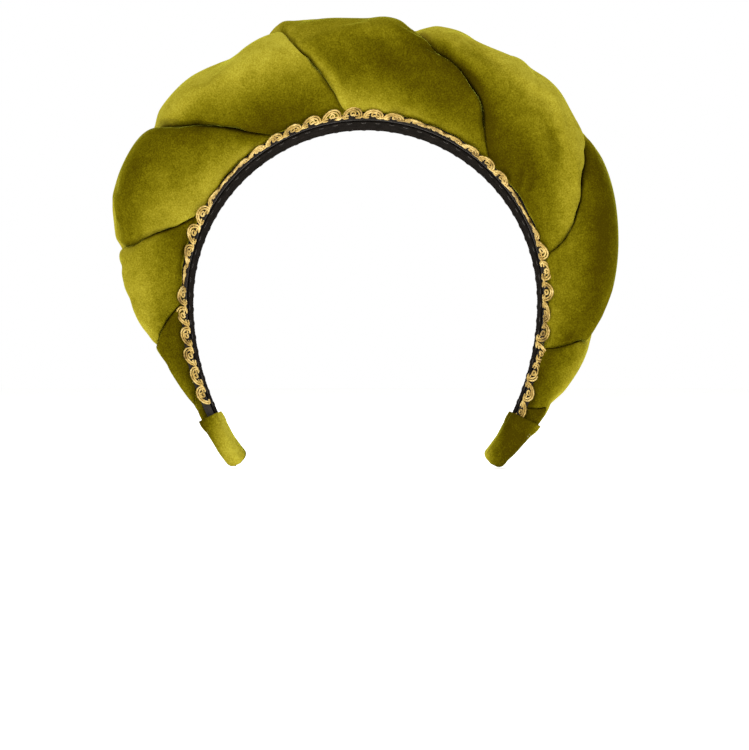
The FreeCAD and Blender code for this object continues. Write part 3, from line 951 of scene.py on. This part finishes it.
# ------------------------------------------------------------------ materials
class Nodes:
    """Short names for building a material's node tree."""

    def __init__(self, name):
        self.material = bpy.data.materials.new(name)
        self.material.use_nodes = True
        self.tree = self.material.node_tree
        self.shader = self.tree.nodes["Principled BSDF"]

    def add(self, kind, **values):
        node = self.tree.nodes.new(kind)
        for key, value in values.items():
            if isinstance(value, (int, float, tuple)) and key in node.inputs:
                node.inputs[key].default_value = value
            else:
                setattr(node, key, value)
        return node

    def link(self, source, target):
        self.tree.links.new(source, target)

    def value(self, name):
        return self.add("ShaderNodeAttribute", attribute_name=name).outputs["Fac"]

    def position(self, stretch=(1, 1, 1)):
        at = self.add("ShaderNodeTexCoord").outputs["Object"]
        if stretch == (1, 1, 1):
            return at
        mapping = self.add("ShaderNodeMapping", Scale=stretch)
        self.link(at, mapping.inputs["Vector"])
        return mapping.outputs["Vector"]

    def noise(self, scale, detail=2.0, roughness=0.5, stretch=(1, 1, 1), distortion=0.0):
        node = self.add("ShaderNodeTexNoise", Scale=scale, Detail=detail, Roughness=roughness,
                        Distortion=distortion)
        self.link(self.position(stretch), node.inputs["Vector"])
        return node.outputs["Fac"]

    def math(self, kind, a, b=0.0, c=None):
        node = self.add("ShaderNodeMath", operation=kind)
        for slot, item in enumerate((a, b) if c is None else (a, b, c)):
            if isinstance(item, (int, float)):
                node.inputs[slot].default_value = item
            else:
                self.link(item, node.inputs[slot])
        return node.outputs[0]

    def ramp(self, factor, stops):
        node = self.add("ShaderNodeValToRGB")
        elements = node.color_ramp.elements
        while len(elements) < len(stops):
            elements.new(0.5)
        for element, (place_on_ramp, colour) in zip(elements, stops):
            element.position = place_on_ramp
            element.color = (*colour, 1)
        self.link(factor, node.inputs["Fac"])
        return node.outputs["Color"]

    def shade(self, colour, factor):
        """Colour multiplied by a factor."""
        node = self.add("ShaderNodeMix", data_type="RGBA", blend_type="MULTIPLY")
        node.inputs["Factor"].default_value = 1.0
        self.link(colour, node.inputs["A"])
        self.link(factor, node.inputs["B"])
        return node.outputs["Result"]

    def bump(self, height, distance, strength=1.0, normal=None):
        node = self.add("ShaderNodeBump", Distance=distance, Strength=strength)
        self.link(height, node.inputs["Height"])
        if normal is not None:
            self.link(normal, node.inputs["Normal"])
        return node.outputs["Normal"]

    def finish(self, **inputs):
        for key, value in inputs.items():
            socket = self.shader.inputs[key.replace("_", " ")]
            if isinstance(value, (int, float, tuple)):
                socket.default_value = value
            else:
                self.link(value, socket)
        return self.material


# The velvet's colours from where it is stroked dark to where it is stroked light, with the pile's
# sheen and shade painted in.
DARK = (0.055, 0.039, 0.0006)
SHADE = (0.1, 0.08, 0.001)
MIDDLE = (0.185, 0.153, 0.0042)
LIGHT = (0.32, 0.265, 0.017)
BRIGHT = (0.44, 0.38, 0.036)


def velvet():
    """Velvet coloured by the lay of its pile, with its sheen and shade painted in, with soft patches,
    strokes and grain, and painted shade deep in its creases.
    """
    n = Nodes("velvet")
    wander = n.math("SUBTRACT", n.noise(40, 3, 0.55, distortion=0.5), 0.5)
    patches = n.math("SUBTRACT", n.noise(105, 4, 0.6, distortion=0.7), 0.5)
    strokes = n.math("SUBTRACT", n.noise(380, 3, 0.65, distortion=0.4), 0.5)
    grain = n.math("SUBTRACT", n.noise(1700, 3, 0.75), 0.5)
    lay = n.math("MULTIPLY_ADD", wander, 0.3, n.value("lay"))
    lay = n.math("MULTIPLY_ADD", patches, 0.36, lay)
    lay = n.math("MULTIPLY_ADD", strokes, 0.26, lay)
    lay = n.math("MULTIPLY_ADD", grain, 1.05, lay)
    stops = ((0.0, DARK), (0.25, SHADE), (0.5, MIDDLE), (0.78, LIGHT), (1.0, BRIGHT))
    colour = n.ramp(lay, stops)
    # Painted shade: deep in a crease the velvet's colour is darkened to nearly black.
    painted_crease_shade = ((0.45, (1, 1, 1)), (0.82, (0.62, 0.57, 0.48)), (1.0, (0.08, 0.06, 0.04)))
    colour = n.shade(colour, n.ramp(n.value("crease"), painted_crease_shade))
    normal = n.bump(n.noise(420, 2, 0.5), 0.0006, 0.4)
    normal = n.bump(n.noise(1500, 2, 0.6), 0.0003, 0.6, normal)
    rough = n.math("MULTIPLY_ADD", grain, 0.16, 0.9)
    return n.finish(
        Base_Color=colour, Roughness=rough, Normal=normal, Specular_IOR_Level=0.0,
        Sheen_Weight=0.7, Sheen_Roughness=0.16, Sheen_Tint=(0.9, 0.95, 0.1, 1),
    )


def gold_cord():
    """Metallic gold braid with fine threads, darker between them."""
    n = Nodes("gold_gimp")
    tone = n.noise(260, 3, 0.6)
    golds = ((0.3, (0.17, 0.095, 0.015)), (0.48, (0.52, 0.34, 0.075)), (0.68, (0.88, 0.66, 0.24)))
    colour = n.ramp(tone, golds)
    thread = n.noise(3000, 1, 0.5, stretch=(1, 1, 0.4))
    normal = n.bump(thread, 0.0001, 0.7)
    rough = n.math("MULTIPLY_ADD", tone, 0.25, 0.3)
    return n.finish(
        Base_Color=colour, Roughness=rough, Normal=normal, Metallic=0.5,
        Specular_IOR_Level=0.6, Sheen_Weight=0.15, Sheen_Tint=(1.0, 0.85, 0.5, 1),
    )


def dark_cloth(name, low, high, scale, stretch, roughness, shine):
    """A plain cloth, thread or strip that varies between two colours."""
    n = Nodes(name)
    tone = n.noise(scale, 3, 0.6, stretch=stretch)
    colour = n.ramp(tone, ((0.3, low), (0.7, high)))
    fibres = n.noise(scale * 6, 2, 0.6, stretch=stretch)
    normal = n.bump(fibres, 0.00012, 0.6)
    rough = n.math("MULTIPLY_ADD", tone, 0.2, roughness - 0.1)
    return n.finish(
        Base_Color=colour, Roughness=rough, Normal=normal, Specular_IOR_Level=shine,
        Sheen_Weight=0.01, Sheen_Tint=(0.6, 0.55, 0.5, 1),
    )


# ------------------------------------------------------------------ studio
# Places and sizes here are in metres.
CAMERA_LENS = 72.7
CAMERA_PLACE = (0.004, -0.65, -0.032)
LIGHTS = (
    # name, place, size, power in watts
    ("key", (-0.55, -0.8, 0.75), 0.7, 8),
    ("fill", (0.8, -0.7, 0.25), 0.8, 3),
    ("rim", (0.15, 0.7, 0.8), 0.8, 9),
)
LIGHTS_AIM = (0, 0, 0.02)
WORLD_LIGHT = 0.36
FLOOR_GLOW = 0.66
FLOOR_DROP = 0.0004
FLOOR_REACH = 4.0


def studio():
    """Camera in front, three soft lights, and a world that is white to the camera only."""
    scene = bpy.context.scene
    scene.view_settings.view_transform = "Standard"
    camera = bpy.data.cameras.new("camera")
    camera.lens = CAMERA_LENS
    camera.sensor_width = 36.0
    holder = bpy.data.objects.new("camera", camera)
    holder.location = CAMERA_PLACE
    holder.rotation_euler = (math.pi / 2, 0, 0)
    scene.collection.objects.link(holder)
    scene.camera = holder
    for name, at, size, power in LIGHTS:
        light = bpy.data.lights.new(name, "AREA")
        light.size = size
        light.energy = power
        lamp = bpy.data.objects.new(name, light)
        lamp.location = at
        aim = Vector(LIGHTS_AIM) - Vector(at)
        lamp.rotation_euler = aim.to_track_quat("-Z", "Y").to_euler()
        scene.collection.objects.link(lamp)
    world = bpy.data.worlds.new("studio")
    world.use_nodes = True
    tree = world.node_tree
    seen = tree.nodes["Background"]
    seen.inputs["Color"].default_value = (1, 1, 1, 1)
    seen.inputs["Strength"].default_value = 1.0
    lit = tree.nodes.new("ShaderNodeBackground")
    lit.inputs["Color"].default_value = (1, 1, 0.98, 1)
    lit.inputs["Strength"].default_value = WORLD_LIGHT
    mix = tree.nodes.new("ShaderNodeMixShader")
    path = tree.nodes.new("ShaderNodeLightPath")
    tree.links.new(path.outputs["Is Camera Ray"], mix.inputs["Fac"])
    tree.links.new(lit.outputs["Background"], mix.inputs[1])
    tree.links.new(seen.outputs["Background"], mix.inputs[2])
    tree.links.new(mix.outputs["Shader"], tree.nodes["World Output"].inputs["Surface"])
    scene.world = world


def pale_floor():
    """A nearly white floor that glows a little, to match the photo's background."""
    n = Nodes("floor")
    tone = n.noise(3, 2, 0.5)
    colour = n.ramp(tone, ((0.3, (0.9, 0.9, 0.895)), (0.7, (0.94, 0.94, 0.935))))
    return n.finish(
        Base_Color=colour, Roughness=0.9, Specular_IOR_Level=0.1,
        Emission_Color=(1, 1, 1, 1), Emission_Strength=FLOOR_GLOW,
    )


def floor(material):
    low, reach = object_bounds()[0][2] - FLOOR_DROP, FLOOR_REACH
    corners = [(-reach, -reach, low), (reach, -reach, low), (reach, reach, low), (-reach, reach, low)]
    made = new_object("floor", corners, [(0, 1, 2, 3)], smooth=False)
    made.data.materials.append(material)
    made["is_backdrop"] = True


# ------------------------------------------------------------------ putting it together
def finished(piece, material, slot, *nodes):
    """Give a piece its material and its body, and hide the CAD nodes that it replaces; the slot is
    not used.
    """
    piece.data.materials.append(material)
    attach(piece, "root")
    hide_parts(*nodes)


def strand(letter, lobes, material):
    """One whole strand of the twist, stuffed, smoothed and finished."""
    piece, data = strand_mesh("strand_" + letter, lobes)
    # The pile's lay, with the sheen and shade it shows painted in.
    add_value(piece, "lay", lay_sheen_shade_of_strand(data))
    # How deep in a crease each point lies, for the velvet's painted crease shade.
    add_value(piece, "crease", 1 - data["free"])
    stuff(piece, data)
    subdivision = piece.modifiers.new("subdivision", "SUBSURF")
    subdivision.levels = subdivision.render_levels = 1
    node = "strand_" + letter
    finished(piece, material, "velvet", node + "_velvet", node + "_filling")


def main():
    """Build and finish every visible piece, then the floor, camera and lights."""
    cloth = velvet()
    gold = gold_cord()
    black_ribbon = dark_cloth(
        "grosgrain", (0.006, 0.005, 0.004), (0.016, 0.013, 0.011), 300, (1, 1, 1), 0.85, 0.0
    )
    satin = dark_cloth(
        "black_satin", (0.016, 0.013, 0.011), (0.034, 0.028, 0.024), 500, (1, 3, 1), 0.55, 0.12
    )
    black_thread = dark_cloth(
        "black_thread", (0.03, 0.025, 0.02), (0.07, 0.06, 0.05), 800, (1, 1, 1), 0.6, 0.4
    )
    green_thread = dark_cloth(
        "green_thread", (0.09, 0.075, 0.008), (0.22, 0.19, 0.03), 800, (1, 1, 1), 0.6, 0.3
    )
    plastic = dark_cloth(
        "moulded_strip", (0.03, 0.03, 0.03), (0.05, 0.05, 0.05), 200, (1, 1, 1), 0.5, 0.4
    )
    strand("a", (0, 2, 4, 6, 8, 10), cloth)
    strand("b", (1, 3, 5, 7, 9), cloth)
    finished(gimp_scrolls(), gold, "gold_gimp", "gimp_outer_scrolls")
    finished(gimp_curls(), gold, "gold_gimp", "gimp_inner_curls")
    finished(gimp_twists(), gold, "gold_gimp", "gimp_links")
    ribbon = lining()
    finished(ribbon, black_ribbon, "lining", "lining_ribbon")
    finished(lining_thread(), black_thread, "black_thread", "lining_stitches")
    finished(tacking_thread(), green_thread, "green_thread", "tacking_stitches")
    for name, node, from_left in (
        ("tip_wrap_left", "end_wrap_left", True), ("tip_wrap_right", "end_wrap_right", False)
    ):
        pocket, lay = tip_wrap(name, from_left)
        # The pocket's lay, with its painted sheen and shade.
        add_value(pocket, "lay", lay)
        # No painted crease shade on the pockets.
        add_value(pocket, "crease", np.zeros(len(lay)))
        finished(pocket, cloth, "velvet", node)
    kept = {
        "spring_band": plastic, "band_cover": satin,
        "end_lashing_left": green_thread, "end_lashing_right": green_thread,
    }
    for node, material in kept.items():
        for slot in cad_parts[node].material_slots:
            slot.material = material
    floor(pale_floor())
    studio()


main()
